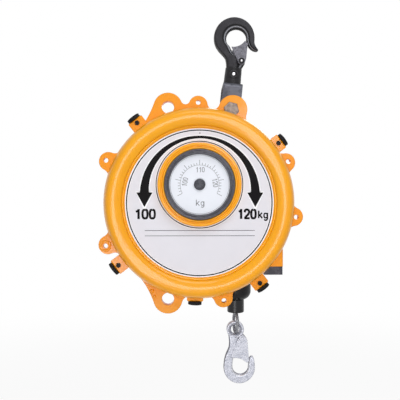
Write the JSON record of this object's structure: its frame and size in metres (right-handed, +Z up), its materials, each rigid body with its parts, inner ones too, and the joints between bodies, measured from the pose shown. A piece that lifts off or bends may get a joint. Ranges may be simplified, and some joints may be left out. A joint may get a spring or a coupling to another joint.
{
  "type": "spring tool balancer",
  "caption": "Spring tool balancer with round cast casing, load dial, latched swivel top hook, and latched load hook on a wire rope that winds on a sprung drum.",
  "frame": {"origin": "bearing point at the top of the top hook bowl, in the plane of the hook", "axes": "+Z up towards the beam, -Y out of the front cover and dial, +X towards the rope side"},
  "size_m": [0.3664, 0.216, 0.6922],
  "materials": {
    "golden_paint": "gloss, lightly orange-peeled enamel on castings",
    "label_print": "printed satin label",
    "blackened_steel": "black oxide, satin",
    "forged_black": "dark charcoal paint on forging",
    "grey_bracket": "dark grey satin plating",
    "latch_steel": "stamped steel, mottled zinc",
    "bolt_steel": "plain steel with a warm tint",
    "bright_zinc": "mottled bright zinc",
    "shaft_steel": "ground steel",
    "bronze": "machined bronze",
    "dial_ring_grey": "dark grey satin",
    "dial_white": "satin white with printed scale",
    "cap_grey": "dark grey satin plastic",
    "guide_black": "black wear-resistant plastic",
    "buffer_rubber": "smooth black rubber",
    "wire_rope": "stranded galvanised wire",
    "spring_blue": "blued spring steel, oiled",
    "cast_drum": "as cast and turned"
  },
  "bodies": {
    "housing": {"main_housing": "golden_paint", "front_cover": "golden_paint", "cover_label": "label_print", "rear_cover": "golden_paint", "rear_cap": "golden_paint", "rear_cap_screws": "blackened_steel", "front_clamp_screws": "blackened_steel", "rear_clamp_screws": "blackened_steel", "clamp_set_screws": "blackened_steel", "hanger_bolt": "bolt_steel", "hanger_nut": "bolt_steel", "hanger_washers": "bolt_steel", "hanger_sleeve": "bolt_steel", "shaft_bushes": "bronze", "worm_bushes": "bronze", "worm_end_cap": "cap_grey", "worm_cap_screws": "blackened_steel", "rope_guide": "guide_black", "rope_guide_screws": "blackened_steel", "rope_fall": "wire_rope"},
    "adjuster": {"main_shaft": "shaft_steel", "shaft_keys": "shaft_steel", "worm_wheel": "bronze", "wheel_retaining_ring": "blackened_steel", "dial_ring": "dial_ring_grey", "dial_plate": "dial_white", "dial_screw": "blackened_steel", "spring_arbor": "shaft_steel", "bearing_inner_rings": "shaft_steel"},
    "worm_shaft": {"worm": "shaft_steel", "worm_retaining_ring": "blackened_steel"},
    "drum": {"rope_drum": "cast_drum", "rope_windings": "wire_rope", "rope_end_stop": "bright_zinc", "spring_case": "cast_drum", "spring_case_lid": "cast_drum", "case_screws": "blackened_steel", "lid_screws": "blackened_steel", "mainspring": "spring_blue", "bearing_outer_rings": "shaft_steel", "bearing_balls": "shaft_steel"},
    "hanger": {"hanger_bracket": "grey_bracket"},
    "top_hook": {"swivel_nut": "grey_bracket", "swivel_collar": "forged_black", "collar_pin": "grey_bracket", "upper_hook": "forged_black", "upper_latch_pin": "grey_bracket", "upper_latch_spring": "shaft_steel"},
    "top_latch": {"upper_latch": "latch_steel"},
    "rope_end": {"rope_buffer": "buffer_rubber", "rope_ferrule": "bright_zinc", "rope_loop": "wire_rope"},
    "load_hook": {"lower_hook": "bright_zinc", "lower_latch_pin": "bright_zinc", "lower_latch_spring": "shaft_steel"},
    "load_latch": {"lower_latch": "bright_zinc"}
  },
  "joints": [
    {"name": "drum_spin", "type": "hinge", "parent": "housing", "child": "drum", "pos_m": [-0.0715, 0, -0.296], "axis": [0, 1, 0], "range_deg": [0, 1643.28], "stiffness_Nm_per_rad": 0.012, "springref_deg": -3437.75},
    {"name": "hook_travel", "type": "slide", "parent": "housing", "child": "rope_end", "axis": [0, 0, -1], "range_m": [0, 2.1], "deforming": ["rope_fall"]},
    {"name": "load_adjust", "type": "hinge", "parent": "housing", "child": "adjuster", "pos_m": [-0.0715, 0, -0.296], "axis": [0, 1, 0], "range_deg": [-78, 78]},
    {"name": "worm_turn", "type": "hinge", "parent": "housing", "child": "worm_shaft", "pos_m": [0.0525, -0.041, -0.296], "axis": [0, 0, 1], "range_deg": [-6240, 6240]},
    {"name": "hanger_swing", "type": "hinge", "parent": "housing", "child": "hanger", "pos_m": [-0.0139, 0, -0.1607], "axis": [0, 1, 0], "range_deg": [-35, 35]},
    {"name": "hook_swivel", "type": "hinge", "parent": "hanger", "child": "top_hook", "pos_m": [-0.00819, 0, -0.1064], "axis": [0.1045, 0, 0.9945], "continuous": true},
    {"name": "top_latch_hinge", "type": "hinge", "parent": "top_hook", "child": "top_latch", "pos_m": [0.00875, 0, -0.06193], "axis": [0, -1, 0], "range_deg": [0, 30], "stiffness_Nm_per_rad": 0.08, "springref_deg": -34.38},
    {"name": "load_hook_swing", "type": "hinge", "parent": "rope_end", "child": "load_hook", "pos_m": [-0.002, 0, -0.568], "axis": [0, 1, 0], "range_deg": [-40, 40]},
    {"name": "load_latch_hinge", "type": "hinge", "parent": "load_hook", "child": "load_latch", "pos_m": [0.0096, 0, -0.5863], "axis": [0, 1, 0], "range_deg": [0, 30], "stiffness_Nm_per_rad": 0.08, "springref_deg": -34.38}
  ],
  "couplings": [
    {"joint": "hook_travel", "follows": "drum_spin", "m_per_rad": 0.07322},
    {"joint": "worm_turn", "follows": "load_adjust", "ratio": 80}
  ]
}
